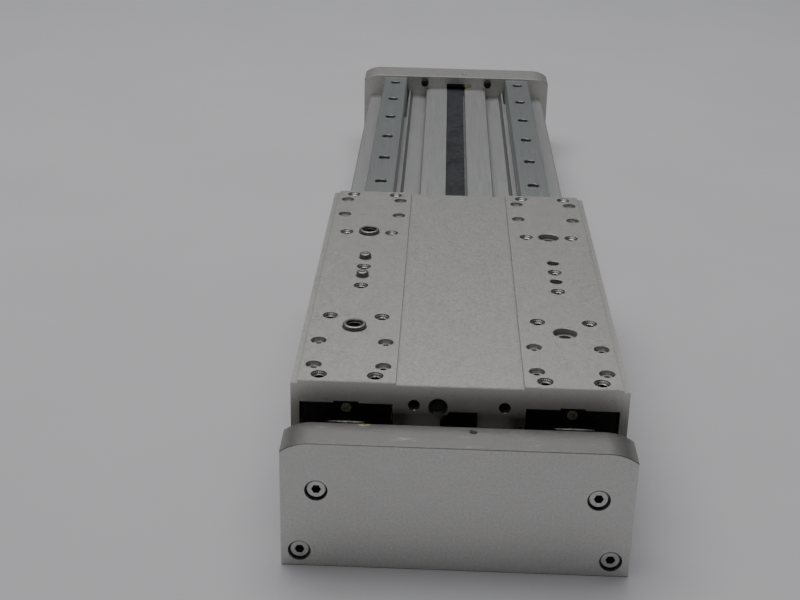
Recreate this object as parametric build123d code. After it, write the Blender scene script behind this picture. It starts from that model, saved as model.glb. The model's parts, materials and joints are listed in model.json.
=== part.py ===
from build123d import *
from math import cos, pi, radians, sin, sqrt
import os

# Ball screw linear module, millimetres. +X across the module, +Y from the idle end to the drive end, +Z up.
# The origin is on the floor, under the middle of the module. The section is symmetric about X = 0.

# ---- driving dimensions ------------------------------------------------------------------------------
PLATE_WIDTH = 122.5
PLATE_HEIGHT = 49.3
PLATE_SIDE_HEIGHT = 45.8
PLATE_CORNER_START = 51.0
IDLE_PLATE = 15.4
DRIVE_PLATE = 22.4
PROFILE_LENGTH = 478.0
SHAFT_OUT = 25.0

PROFILE_HALF_WIDTH = 57.2
LEDGE_Z = 35.6
SEAT_Z = 38.3
FLOOR_Z = 36.3
PLATEAU_Z = 41.4
PLATEAU_HALF_WIDTH = 19.5

RAIL_X = 40.0
RAIL_WIDTH = 15.0
RAIL_HEIGHT = 10.0
RAIL_PITCH = 40.0
RAIL_FIRST_HOLE = 23.7
RAIL_HOLES = 12

CARRIAGE_LENGTH = 200.5
CARRIAGE_GAP = 6.8
CARRIAGE_HALF_WIDTH = 59.6
CARRIAGE_TOP = 62.2
CARRIAGE_SEAT = 54.3
BLOCK_Y = 77.85
BLOCK_WIDTH = 32.0
BLOCK_LENGTH = 42.1
BLOCK_STEEL = 26.7
BLOCK_CLEARANCE = 4.0

SCREW_Z = 21.5
SCREW_RADIUS = 6.0
LEAD = 10.0
BALL_RADIUS = 1.19
BALL_CIRCLE = 6.15
GROOVE_RADIUS = 1.24

STRIP_X0, STRIP_X1 = -5.75, 4.45
STRIP_Z = 40.2
STRIP_THICK = 0.6

FIT = 0.02
LOOSE = 0.05

# ---- stations along the module -----------------------------------------------------------------------
TOTAL_LENGTH = IDLE_PLATE + PROFILE_LENGTH + DRIVE_PLATE + SHAFT_OUT
Y_IDLE = -TOTAL_LENGTH / 2
Y_PROFILE_START = Y_IDLE + IDLE_PLATE
Y_PROFILE_END = Y_PROFILE_START + PROFILE_LENGTH
Y_DRIVE = Y_PROFILE_END + DRIVE_PLATE
Y_CARRIAGE_START = Y_PROFILE_START + CARRIAGE_GAP
Y_CARRIAGE_END = Y_CARRIAGE_START + CARRIAGE_LENGTH
Y_CARRIAGE = Y_CARRIAGE_START + CARRIAGE_LENGTH / 2

PLATE_SCREWS = [(sx * x, z) for x, z in ((48.7, 30.9), (54.65, 6.2)) for sx in (-1, 1)]
BUMPER_X, BUMPER_Z, BUMPER_RADIUS, BUMPER_OUT = 20.8, 45.4, 2.3, 4.5
BLOCKS = {
    "front_left": (-RAIL_X, Y_CARRIAGE - BLOCK_Y),
    "front_right": (RAIL_X, Y_CARRIAGE - BLOCK_Y),
    "rear_left": (-RAIL_X, Y_CARRIAGE + BLOCK_Y),
    "rear_right": (RAIL_X, Y_CARRIAGE + BLOCK_Y),
}

# bearings: bore radius, outer radius, width
BEARING_BORE, BEARING_OUTER, BEARING_WIDTH = 4.0, 11.0, 7.0
Y_IDLE_BEARING = Y_IDLE + 6.4
Y_DRIVE_BEARING = Y_PROFILE_END + 5.4
COVER_RADIUS, COVER_BORE, COVER_THICK, COVER_SCREW_CIRCLE = 17.0, 8.5, 3.0, 13.5

# screw thread runs between these two stations
Y_THREAD_START = Y_PROFILE_START + 6.0
THREAD_LENGTH = 464.0

# carriage holes, from its centre
THREAD_ROWS = (95.4, 45.2)
RING_ROWS = (45.6, -54.7)
PIN_ROWS = (15.4, -4.45)
CENTRE_THREAD_ROWS = (5.1, -15.0)
M5_TAP, M5_MOUTH = 2.1, 2.95


# ---- helpers -----------------------------------------------------------------------------------------
def box(x0, x1, y0, y1, z0, z1):
    """A box between two corners."""
    return Pos((x0 + x1) / 2, (y0 + y1) / 2, (z0 + z1) / 2) * Box(x1 - x0, y1 - y0, z1 - z0)


def post(radius, x, y, z0, z1):
    """An upright cylinder."""
    return Pos(x, y, (z0 + z1) / 2) * Cylinder(radius, z1 - z0)


def rod(radius, y0, y1, x=0.0, z=SCREW_Z):
    """A cylinder along Y."""
    return Pos(x, (y0 + y1) / 2, z) * Rot(X=90) * Cylinder(radius, y1 - y0)


def prism(points, y0, y1):
    """An outline in X and Z, extruded from y0 to y1."""
    face = make_face(Polyline(*points, close=True))
    return Pos(0, y1, 0) * extrude(Plane.XZ * face, y1 - y0)


def mouth(radius, depth, x, y, z):
    """The countersunk mouth of an upright hole: a cone that widens up to z."""
    return Pos(x, y, z - depth / 2) * Cone(radius - depth, radius, depth)


def group(solids):
    """Several separate solids in one node."""
    return Compound(children=[s for item in solids for s in item.solids()])


def upward(solid, x, y, z):
    """Places a fastener whose head points to +Z."""
    return Pos(x, y, z) * solid


def toward_idle(solid, x, y, z=SCREW_Z):
    """Places a fastener whose head points to -Y."""
    return Pos(x, y, z) * Rot(X=90) * solid


def toward_drive(solid, x, y, z=SCREW_Z):
    """Places a fastener whose head points to +Y."""
    return Pos(x, y, z) * Rot(X=-90) * solid


def cap_screw(radius, length, head_radius, head_height, key, key_depth):
    """A hexagon socket cap screw: seat at z = 0, head above it, shank below."""
    head = Cylinder(head_radius, head_height, align=(Align.CENTER, Align.CENTER, Align.MIN))
    head = chamfer(head.edges().group_by(Axis.Z)[-1], head_radius * 0.1)
    shank = Cylinder(radius, length, align=(Align.CENTER, Align.CENTER, Align.MAX))
    shank = chamfer(shank.edges().group_by(Axis.Z)[0], radius * 0.2)
    socket = extrude(RegularPolygon(key / sqrt(3), 6), key_depth)
    return head + shank - Pos(0, 0, head_height - key_depth) * socket


def grub_screw(radius, length, key):
    """A set screw with a socket at its top, z = 0, and a chamfered point."""
    body = Cylinder(radius, length, align=(Align.CENTER, Align.CENTER, Align.MAX))
    body = chamfer(body.edges().group_by(Axis.Z)[0], radius * 0.25)
    socket = extrude(RegularPolygon(key / sqrt(3), 6), length * 0.4)
    return body - Pos(0, 0, -length * 0.4) * socket


def countersunk_screw(radius, length, head_radius):
    """A countersunk screw, flush at z = 0."""
    head = Cone(radius, head_radius, head_radius - radius, align=(Align.CENTER, Align.CENTER, Align.MAX))
    shank = Cylinder(radius, length, align=(Align.CENTER, Align.CENTER, Align.MAX))
    socket = extrude(RegularPolygon(1.1, 6), 1.2)
    return head + shank - Pos(0, 0, -1.2) * socket


# ---- base profile and end plates ---------------------------------------------------------------------
SLOT_HALF, SLOT_LEDGE_OUT, SLOT_LEDGE_IN = 5.85, 4.5, 3.6
SLOT_GROOVE_Z = 37.6
RIDGE_OUT, RIDGE_IN, RIDGE_FOOT, RIDGE_Z = 32.3, 29.9, 28.5, 39.6
CAVITY_HALF, CAVITY_Z0, CAVITY_Z1 = 15.5, 6.5, 36.0
T_NECK, T_HEAD = 2.6, 5.0
T_NECK_DEPTH, T_DEPTH = 2.5, 6.0
SIDE_SLOT_Z = 20.0
# hollow chambers on each side: near and far X, low and high Z
CHAMBERS = ((18.5, 33.0, 4.0, 28.0), (36.5, 48.0, 9.5, 26.5))
PLATE_SCREW_RADIUS, PLATE_SCREW_THREAD = 2.0, 12.0
RELIEF_WIDTH, RELIEF_Z, RELIEF_LEFT, RELIEF_RIGHT = 1.3, 33.5, 65.0, 28.0


def base_profile():
    """Extruded base: stepped top with two rail seats, a slot over the screw cavity, chambers and T-slots."""
    right = [
        (PROFILE_HALF_WIDTH, 0),
        (PROFILE_HALF_WIDTH, LEDGE_Z - 0.6),
        (PROFILE_HALF_WIDTH - 0.6, LEDGE_Z),
        (48.4, LEDGE_Z),
        (47.9, SEAT_Z),
        (RIDGE_OUT, SEAT_Z),
        (RIDGE_OUT, RIDGE_Z),
        (RIDGE_IN, RIDGE_Z),
        (RIDGE_FOOT, FLOOR_Z),
        (PLATEAU_HALF_WIDTH, FLOOR_Z),
        (PLATEAU_HALF_WIDTH, PLATEAU_Z - 0.5),
        (PLATEAU_HALF_WIDTH - 0.5, PLATEAU_Z),
        (SLOT_HALF, PLATEAU_Z),
        (SLOT_HALF, SLOT_GROOVE_Z),
        (SLOT_LEDGE_OUT, SLOT_GROOVE_Z),
        (SLOT_LEDGE_OUT, STRIP_Z),
        (SLOT_LEDGE_IN, STRIP_Z),
        (SLOT_LEDGE_IN, CAVITY_Z1),
    ]
    left = [(-x, z) for x, z in reversed(right)]
    y0, y1 = Y_PROFILE_START, Y_PROFILE_END
    body = prism(right + left, y0, y1)
    cavity = box(-CAVITY_HALF, CAVITY_HALF, y0, y1, CAVITY_Z0, CAVITY_Z1)
    cavity = fillet(cavity.edges().filter_by(Axis.Y).group_by(Axis.Z)[0], 6)
    body -= cavity
    for side in (-1, 1):
        for near, far, z0, z1 in CHAMBERS:
            chamber = box(*sorted((side * near, side * far)), y0, y1, z0, z1)
            body -= fillet(chamber.edges().filter_by(Axis.Y), 2)
        slot_x = side * RAIL_X
        body -= box(slot_x - T_NECK, slot_x + T_NECK, y0, y1, 0, T_DEPTH)
        body -= box(slot_x - T_HEAD, slot_x + T_HEAD, y0, y1, T_NECK_DEPTH, T_DEPTH)
        side_x = sorted((side * PROFILE_HALF_WIDTH, side * (PROFILE_HALF_WIDTH - T_DEPTH)))
        head_x = sorted((side * (PROFILE_HALF_WIDTH - T_NECK_DEPTH), side * (PROFILE_HALF_WIDTH - T_DEPTH)))
        body -= box(*side_x, y0, y1, SIDE_SLOT_Z - T_NECK, SIDE_SLOT_Z + T_NECK)
        body -= box(*head_x, y0, y1, SIDE_SLOT_Z - T_HEAD, SIDE_SLOT_Z + T_HEAD)
        for y in rail_hole_stations():
            body -= post(1.5 + FIT, slot_x, y, SEAT_Z - 7.5, SEAT_Z)
    for x, z in PLATE_SCREWS:
        body -= rod(PLATE_SCREW_RADIUS + FIT, y0, y0 + PLATE_SCREW_THREAD, x, z)
        body -= rod(PLATE_SCREW_RADIUS + FIT, y1 - PLATE_SCREW_THREAD, y1, x, z)
    # milled reliefs beside the rails at the drive end
    body -= box(-RIDGE_OUT, -RIDGE_OUT + RELIEF_WIDTH, y1 - RELIEF_LEFT, y1, RELIEF_Z, RIDGE_Z)
    body -= box(RIDGE_OUT - RELIEF_WIDTH, RIDGE_OUT, y1 - RELIEF_RIGHT, y1, RELIEF_Z, RIDGE_Z)
    return body


def plate_blank(y0, y1):
    """End plate outline: flat top, arched top corners, square bottom."""
    half = PLATE_WIDTH / 2
    run = half - PLATE_CORNER_START
    drop = PLATE_HEIGHT - PLATE_SIDE_HEIGHT
    radius = (run**2 + drop**2) / (2 * drop)
    mid = 0.5 * run / radius
    mid_x = PLATE_CORNER_START + radius * sin(mid)
    mid_z = PLATE_HEIGHT - radius * (1 - cos(mid))
    outline = [
        Line((-half, 0), (half, 0)),
        Line((half, 0), (half, PLATE_SIDE_HEIGHT)),
        ThreePointArc((half, PLATE_SIDE_HEIGHT), (mid_x, mid_z), (PLATE_CORNER_START, PLATE_HEIGHT)),
        Line((PLATE_CORNER_START, PLATE_HEIGHT), (-PLATE_CORNER_START, PLATE_HEIGHT)),
        ThreePointArc((-PLATE_CORNER_START, PLATE_HEIGHT), (-mid_x, mid_z), (-half, PLATE_SIDE_HEIGHT)),
        Line((-half, PLATE_SIDE_HEIGHT), (-half, 0)),
    ]
    face = make_face(Wire(outline))
    blank = Pos(0, y1, 0) * extrude(Plane.XZ * face, y1 - y0)
    rims = blank.edges().filter_by(GeomType.LINE).filter_by(Axis.Y, reverse=True)
    rims += blank.edges().filter_by(GeomType.CIRCLE)
    return chamfer(rims, 0.22)


STRIP_SET_SCREW_X = 5.1
Y_IDLE_SET_SCREW, Y_DRIVE_SET_SCREW = Y_PROFILE_START - 3.2, Y_PROFILE_END + 8.9
SET_SCREW_HOLE_Z = 43.0
IDLE_POCKET_HALF, DRIVE_POCKET_HALF = 8.2, 6.2
CLAMP_Z0, CLAMP_Z1 = STRIP_Z + STRIP_THICK + 0.1, 43.2
PLATE_HOLE_RADIUS, COUNTERBORE_RADIUS, COUNTERBORE_DEPTH = 2.25, 4.05, 5.0
MOTOR_X, MOTOR_Z = 24.0, 14.0


def set_screw_hole(y):
    """Hole of a strip's set screw, down from the top of an end plate."""
    hole = post(1.25, STRIP_SET_SCREW_X, y, SET_SCREW_HOLE_Z, PLATE_HEIGHT)
    return hole + mouth(1.6, 0.35, STRIP_SET_SCREW_X, y, PLATE_HEIGHT)


def cover_screw_positions():
    """X and Z of the four screws of the drive bearing's cover."""
    angles = [radians(45 + 90 * k) for k in range(4)]
    return [(COVER_SCREW_CIRCLE * cos(a), SCREW_Z + COVER_SCREW_CIRCLE * sin(a)) for a in angles]


def idle_end_plate():
    """Near end plate: blind bearing seat, counterbored screws, strip pocket with its set screw."""
    y1 = Y_PROFILE_START
    plate = plate_blank(Y_IDLE, y1)
    plate -= rod(BEARING_OUTER + FIT, Y_IDLE + 3.9, y1)
    for x, z in PLATE_SCREWS:
        plate -= rod(PLATE_HOLE_RADIUS, Y_IDLE, y1, x, z)
        plate -= rod(COUNTERBORE_RADIUS, Y_IDLE, Y_IDLE + COUNTERBORE_DEPTH, x, z)
    for side in (-1, 1):
        plate -= rod(BUMPER_RADIUS + FIT, y1 - 4, y1, side * BUMPER_X, BUMPER_Z)
    plate -= box(-IDLE_POCKET_HALF, IDLE_POCKET_HALF, y1 - 7, y1, STRIP_Z - 0.4, 43.6)
    return plate - set_screw_hole(Y_IDLE_SET_SCREW)


def drive_end_plate():
    """Far end plate: seat of the bearing pair, cover recess, motor side threads, strip pocket."""
    y0, y1 = Y_PROFILE_END, Y_DRIVE
    plate = plate_blank(y0, y1)
    plate -= rod(7.0, y0, y1)
    plate -= rod(BEARING_OUTER + FIT, Y_DRIVE_BEARING, y1)
    plate -= rod(COVER_RADIUS + LOOSE, y1 - COVER_THICK, y1)
    for x, z in cover_screw_positions():
        plate -= rod(1.5 + FIT, y1 - 12, y1, x, z)
    for x, z in PLATE_SCREWS:
        plate -= rod(PLATE_HOLE_RADIUS, y0, y1, x, z)
        plate -= rod(COUNTERBORE_RADIUS, y1 - COUNTERBORE_DEPTH, y1, x, z)
    for x in (-MOTOR_X, MOTOR_X):
        for z in (SCREW_Z - MOTOR_Z, SCREW_Z + MOTOR_Z):
            plate -= rod(M5_TAP, y1 - 12, y1, x, z)
            plate -= Pos(x, y1 - 0.35, z) * Rot(X=-90) * Cone(M5_TAP, M5_MOUTH, 0.7)
    for side in (-1, 1):
        plate -= rod(BUMPER_RADIUS + FIT, y0, y0 + 4, side * BUMPER_X, BUMPER_Z)
    plate -= box(-DRIVE_POCKET_HALF, DRIVE_POCKET_HALF, y0, y0 + 12, STRIP_Z - 0.4, 44.6)
    return plate - set_screw_hole(Y_DRIVE_SET_SCREW)


def idle_end_plate_screws():
    screw = cap_screw(PLATE_SCREW_RADIUS, 20, 3.45, 4, 3, 2)
    return group([toward_idle(screw, x, Y_IDLE + COUNTERBORE_DEPTH, z) for x, z in PLATE_SCREWS])


def drive_end_plate_screws():
    screw = cap_screw(PLATE_SCREW_RADIUS, 27, 3.45, 4, 3, 2)
    return group([toward_drive(screw, x, Y_DRIVE - COUNTERBORE_DEPTH, z) for x, z in PLATE_SCREWS])


def bumpers(face_y, direction):
    """Two rubber buffers pressed into an end plate; direction is the way they stand out."""
    solids = []
    for side in (-1, 1):
        ends = sorted((face_y - direction * 3.8, face_y + direction * BUMPER_OUT))
        body = rod(BUMPER_RADIUS, *ends, side * BUMPER_X, BUMPER_Z)
        tip = body.edges().sort_by(Axis.Y)[-1 if direction > 0 else 0]
        solids.append(fillet(tip, 1.0))
    return group(solids)


# ---- rails -------------------------------------------------------------------------------------------
RACE_OFFSET, RACE_Z, RACE_RADIUS = 8.05, 6.4, 1.66


def rail_hole_stations():
    """Y of each rail screw."""
    return [Y_PROFILE_START + RAIL_FIRST_HOLE + RAIL_PITCH * k for k in range(RAIL_HOLES)]


def guide_rail(x):
    """Profile rail: chamfered top, one ball race on each side, counterbored screw holes."""
    half, top = RAIL_WIDTH / 2, SEAT_Z + RAIL_HEIGHT
    points = [(half, 0), (half, RAIL_HEIGHT - 0.45), (half - 0.45, RAIL_HEIGHT)]
    points += [(-px, pz) for px, pz in reversed(points)]
    rail = Pos(x, 0, SEAT_Z) * prism(points, Y_PROFILE_START, Y_PROFILE_END)
    for side in (-1, 1):
        rail -= rod(RACE_RADIUS, Y_PROFILE_START, Y_PROFILE_END, x + side * RACE_OFFSET, SEAT_Z + RACE_Z)
    for y in rail_hole_stations():
        rail -= post(3.0, x, y, top - 4.5, top)
        rail -= post(1.75, x, y, SEAT_Z, top - 4.5)
        rail -= mouth(3.25, 0.25, x, y, top)
    return rail


def rail_screws(x):
    screw = cap_screw(1.5, 12, 2.75, 3, 2.5, 1.5)
    seat = SEAT_Z + RAIL_HEIGHT - 4.5
    return group([upward(screw, x, y, seat) for y in rail_hole_stations()])


# ---- cover strip -------------------------------------------------------------------------------------
ARCH_FLAT, ARCH_FOOT, ARCH_Z = 20.0, 62.0, 46.5


def cover_strip():
    """Thin band in the slot; inside the carriage it lifts over the nut driver."""
    low = [
        (Y_PROFILE_START - 6.0, STRIP_Z),
        (Y_CARRIAGE - ARCH_FOOT, STRIP_Z),
        (Y_CARRIAGE - ARCH_FLAT, ARCH_Z),
        (Y_CARRIAGE + ARCH_FLAT, ARCH_Z),
        (Y_CARRIAGE + ARCH_FOOT, STRIP_Z),
        (Y_PROFILE_END + 11.0, STRIP_Z),
    ]
    high = [(y, z + STRIP_THICK) for y, z in reversed(low)]
    face = make_face(Polyline(*low, *high, close=True))
    return Pos(STRIP_X0, 0, 0) * extrude(Plane.YZ * face, STRIP_X1 - STRIP_X0)


def strip_clamp(y0, half):
    """Small bar that presses an end of the strip down."""
    bar = box(-half + 0.2, half - 0.2, y0, y0 + 6, CLAMP_Z0, CLAMP_Z1)
    return chamfer(bar.edges().filter_by(Axis.X).group_by(Axis.Z)[-1], 0.5)


def strip_set_screw(y):
    return upward(grub_screw(1.23, 4.2, 1.3), STRIP_SET_SCREW_X, y, CLAMP_Z1 + 4.2)


# ---- bearings and the screw --------------------------------------------------------------------------
BEARING_PITCH, BEARING_BALL, BEARING_BALLS = 7.5, 1.95, 7
RACE_GAP = 0.06


def bearing_ring(inner, outer, y0):
    """One ring of a deep groove ball bearing, with its race."""
    y1 = y0 + BEARING_WIDTH
    ring = rod(outer, y0, y1) - rod(inner, y0, y1)
    race = Torus(BEARING_PITCH, BEARING_BALL + RACE_GAP)
    return ring - Pos(0, (y0 + y1) / 2, SCREW_Z) * Rot(X=90) * race


def outer_ring(y0):
    return bearing_ring(9.1, BEARING_OUTER, y0)


def inner_ring(y0):
    return bearing_ring(BEARING_BORE + 0.01, 5.9, y0)


def bearing_balls(y0):
    """The balls of one bearing."""
    balls = []
    for k in range(BEARING_BALLS):
        a = 2 * pi * k / BEARING_BALLS
        place = Pos(BEARING_PITCH * cos(a), y0 + BEARING_WIDTH / 2, SCREW_Z + BEARING_PITCH * sin(a))
        balls.append(place * Sphere(BEARING_BALL))
    return balls


def ball_track(land_radius, sign, start, end):
    """Solid of a bar with a helical ball groove, along Z, in phase with the screw's start at z = 0.

    sign -1 cuts the groove into the bar (the screw), +1 raises it (the hollow of the nut). The transverse
    section is the same all along the bar and turns once in each lead, to the right.
    """
    half = sqrt(GROOVE_RADIUS**2 - (BALL_CIRCLE - land_radius) ** 2)
    points = []
    steps = 12
    for k in range(steps + 1):
        z = half * (2 * k / steps - 1)
        r = BALL_CIRCLE + sign * sqrt(max(GROOVE_RADIUS**2 - z**2, 0))
        a = 2 * pi * z / LEAD
        points.append((r * cos(a), r * sin(a)))
    edges = [Spline(*points), ThreePointArc(points[-1], (-land_radius, 0), points[0])]
    section = Rot(Z=360 * start / LEAD) * make_face(Wire(edges))
    length = end - start
    turned = Solid.extrude_linear_with_rotation(
        section.face(), center=(0, 0, 0), normal=(0, 0, length), angle=360 * length / LEAD
    )
    return Pos(0, 0, start) * turned


def along_screw(solid):
    """Lays a solid built along Z, from the thread's start, onto the screw's axis."""
    return Pos(0, Y_THREAD_START, SCREW_Z) * Rot(X=-90) * solid


def ball_screw():
    """Ground screw: helical groove, a shoulder and a journal at each end, motor journal at the drive end."""
    y0, y1 = Y_THREAD_START, Y_THREAD_START + THREAD_LENGTH
    drive_shoulder = Y_DRIVE_BEARING
    lock_end = drive_shoulder + 2 * BEARING_WIDTH + 6
    screw = along_screw(ball_track(SCREW_RADIUS, -1, 0, THREAD_LENGTH))
    screw += rod(5.0, Y_IDLE_BEARING + BEARING_WIDTH, y0)
    idle_journal = rod(BEARING_BORE, Y_IDLE_BEARING - 1.8, Y_IDLE_BEARING + BEARING_WIDTH)
    screw += chamfer(idle_journal.edges().group_by(Axis.Y)[0], 0.4)
    screw += rod(5.0, y1, drive_shoulder)
    screw += rod(BEARING_BORE, drive_shoulder, lock_end)
    motor_journal = rod(3.0, lock_end, Y_DRIVE + SHAFT_OUT)
    screw += chamfer(motor_journal.edges().group_by(Axis.Y)[-1], 0.5)
    groove = rod(BEARING_BORE + 1, Y_IDLE_BEARING - 1.0, Y_IDLE_BEARING) - rod(3.7, y0 - 40, y0)
    return screw - groove


def idle_retaining_ring():
    """Open spring ring in the groove of the idle journal."""
    y0, y1 = Y_IDLE_BEARING - 0.9, Y_IDLE_BEARING - 0.1
    ring = rod(5.2, y0, y1) - rod(3.75, y0, y1)
    return ring - box(-1.2, 1.2, y0, y1, SCREW_Z - 6, SCREW_Z)


def drive_lock_nut():
    """Slotted nut that clamps the inner rings."""
    y0 = Y_DRIVE_BEARING + 2 * BEARING_WIDTH
    nut = rod(7.8, y0, y0 + 5.5) - rod(BEARING_BORE + 0.01, y0, y0 + 5.5)
    for k in range(4):
        slot = box(-1.5, 1.5, y0 + 2, y0 + 5.5, 6.3, 9)
        nut -= Pos(0, 0, SCREW_Z) * Rot(Y=90 * k + 45) * slot
    return nut


def drive_bearing_cover():
    """Flush ring that holds the outer rings; four countersunk screws."""
    y1 = Y_DRIVE
    cover = rod(COVER_RADIUS, y1 - COVER_THICK, y1) - rod(COVER_BORE, y1 - COVER_THICK, y1)
    for x, z in cover_screw_positions():
        cover -= rod(1.6, y1 - COVER_THICK, y1, x, z)
        cover -= Pos(x, y1 - 0.75, z) * Rot(X=-90) * Cone(1.52, 3.02, 1.5)
    return cover


def drive_bearing_cover_screws():
    screw = countersunk_screw(1.5, 10, 2.95)
    return group([toward_drive(screw, x, Y_DRIVE, z) for x, z in cover_screw_positions()])


# ---- nut and driver ----------------------------------------------------------------------------------
NUT_LENGTH, NUT_RADIUS, NUT_LAND = 40.0, 11.0, 6.35
NUT_CAP = 4.0
DRIVER_LENGTH, DRIVER_SHOULDER = 50.0, 5.0
DRIVER_HEAD_HALF_X, DRIVER_HEAD_HALF_Y = 12.0, 14.0
DRIVER_HEAD_Z0, DRIVER_HEAD_Z1 = 43.0, 46.0
# where the nut starts, counted from the start of the screw's thread
NUT_START = Y_CARRIAGE - NUT_LENGTH / 2 - Y_THREAD_START
NUT_BALL_TURNS = 2.5
NUT_BALLS = 34


def ball_nut():
    """Round nut with a helical race of the screw's lead."""
    blank = Cylinder(NUT_RADIUS, NUT_LENGTH, align=(Align.CENTER, Align.CENTER, Align.MIN))
    blank = Pos(0, 0, NUT_START) * chamfer(blank.edges().filter_by(GeomType.CIRCLE), 0.5)
    hollow = ball_track(NUT_LAND, 1, NUT_START - 3, NUT_START + NUT_LENGTH + 3)
    nut = along_screw(blank - hollow)
    y0 = Y_CARRIAGE - NUT_LENGTH / 2
    nut -= rod(9.0 + LOOSE, y0, y0 + NUT_CAP)
    nut -= rod(9.0 + LOOSE, y0 + NUT_LENGTH - NUT_CAP, y0 + NUT_LENGTH)
    return nut


def ball_nut_balls():
    """Loaded balls, on the screw's helix inside the nut."""
    first = NUT_START + NUT_LENGTH / 2 - NUT_BALL_TURNS * LEAD / 2
    balls = []
    for k in range(NUT_BALLS):
        z = first + NUT_BALL_TURNS * LEAD * k / (NUT_BALLS - 1)
        a = 2 * pi * z / LEAD
        balls.append(along_screw(Pos(BALL_CIRCLE * cos(a), BALL_CIRCLE * sin(a), z) * Sphere(BALL_RADIUS)))
    return group(balls)


def ball_nut_end_caps():
    """Plastic return caps in both ends of the nut."""
    solids = []
    for y0 in (Y_CARRIAGE - NUT_LENGTH / 2, Y_CARRIAGE + NUT_LENGTH / 2 - NUT_CAP):
        solids.append(rod(9.0, y0, y0 + NUT_CAP) - rod(6.3, y0, y0 + NUT_CAP))
    return group(solids)


def nut_driver():
    """Aluminium driver: holds the nut, reaches up through the slot and carries its head in the carriage."""
    y0, y1 = Y_CARRIAGE - DRIVER_LENGTH / 2, Y_CARRIAGE + DRIVER_LENGTH / 2
    body = box(-14, 14, y0, y1, SCREW_Z - 13, SCREW_Z + 13)
    body = fillet(body.edges().filter_by(Axis.Y).group_by(Axis.Z)[0], 5)
    body += box(-3.3, 3.3, y0 + 2, y1 - 2, SCREW_Z + 13, DRIVER_HEAD_Z0)
    head_x, head_y = DRIVER_HEAD_HALF_X, DRIVER_HEAD_HALF_Y
    head = box(-head_x, head_x, Y_CARRIAGE - head_y, Y_CARRIAGE + head_y, DRIVER_HEAD_Z0, DRIVER_HEAD_Z1)
    body += chamfer(head.edges().filter_by(Axis.X).group_by(Axis.Z)[-1], 0.8)
    body -= rod(NUT_RADIUS + FIT, y0, y1 - DRIVER_SHOULDER)
    body -= rod(8.5, y1 - DRIVER_SHOULDER, y1)
    return body


def nut_lock_ring():
    """Ring that holds the nut against the driver's shoulder, with two key holes."""
    y0 = Y_CARRIAGE - DRIVER_LENGTH / 2
    y1 = Y_CARRIAGE - NUT_LENGTH / 2
    ring = rod(NUT_RADIUS, y0, y1) - rod(6.8, y0, y1)
    for side in (-1, 1):
        ring -= rod(0.9, y0, y0 + 3, side * 8.9)
    return ring


# ---- carriage ----------------------------------------------------------------------------------------
POCKET_IN, POCKET_OUT = 23.5, 56.5
SKIRT_Z, CORE_Z = 37.5, 43.2
PORT_NOTCH, LIP_Z, LIP_DEPTH = 4.45, 53.65, 1.2
FRONT_SETBACK, SETBACK_Z = 3.0, 50.0
RECESS_HALF, RECESS_Z = 22.63, 61.4
SHOULDER_X, SHOULDER_Z = 57.04, 61.05
CHANNEL_R, CHANNEL_L, CHANNEL_TOP_L = 6.6, -6.6, -3.5
CHANNEL_MID_Z, CHANNEL_Z = 46.0, 51.4
FACE_HOLE_X, FACE_HOLE_Z = 16.0, 53.6
PORT_X, PORT_Z, PORT_RADIUS = -7.5, 53.05, 3.43


def pad_positions(rows, offset, x=RAIL_X):
    """Holes of both pads at x +- offset, on rows counted from the carriage's centre."""
    return [
        (side * x + shift, Y_CARRIAGE + row)
        for side in (-1, 1)
        for shift in ((-offset, offset) if offset else (0,))
        for row in rows
    ]


def carriage_blank():
    """Carriage section: plate, thin skirts, a core between the block pockets with the strip's channel."""
    w = CARRIAGE_HALF_WIDTH
    points = [
        (-w, SKIRT_Z),
        (-POCKET_OUT, SKIRT_Z),
        (-POCKET_OUT, CARRIAGE_SEAT),
        (-POCKET_IN, CARRIAGE_SEAT),
        (-POCKET_IN, CORE_Z),
        (CHANNEL_L, CORE_Z),
        (CHANNEL_L, CHANNEL_MID_Z),
        (CHANNEL_TOP_L, CHANNEL_Z),
        (CHANNEL_R, CHANNEL_Z),
        (CHANNEL_R, CORE_Z),
        (POCKET_IN, CORE_Z),
        (POCKET_IN, CARRIAGE_SEAT),
        (POCKET_OUT, CARRIAGE_SEAT),
        (POCKET_OUT, SKIRT_Z),
        (w, SKIRT_Z),
        (w, SHOULDER_Z),
        (SHOULDER_X, SHOULDER_Z),
        (SHOULDER_X, CARRIAGE_TOP),
        (RECESS_HALF, CARRIAGE_TOP),
        (RECESS_HALF, RECESS_Z),
        (-RECESS_HALF, RECESS_Z),
        (-RECESS_HALF, CARRIAGE_TOP),
        (-SHOULDER_X, CARRIAGE_TOP),
        (-SHOULDER_X, SHOULDER_Z),
        (-w, SHOULDER_Z),
    ]
    blank = prism(points, Y_CARRIAGE_START, Y_CARRIAGE_END)
    ends = blank.edges().filter_by(Axis.X).filter_by_position(Axis.Z, RECESS_Z - 0.5, CARRIAGE_TOP + 0.5)
    return chamfer(ends, 0.3)


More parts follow.
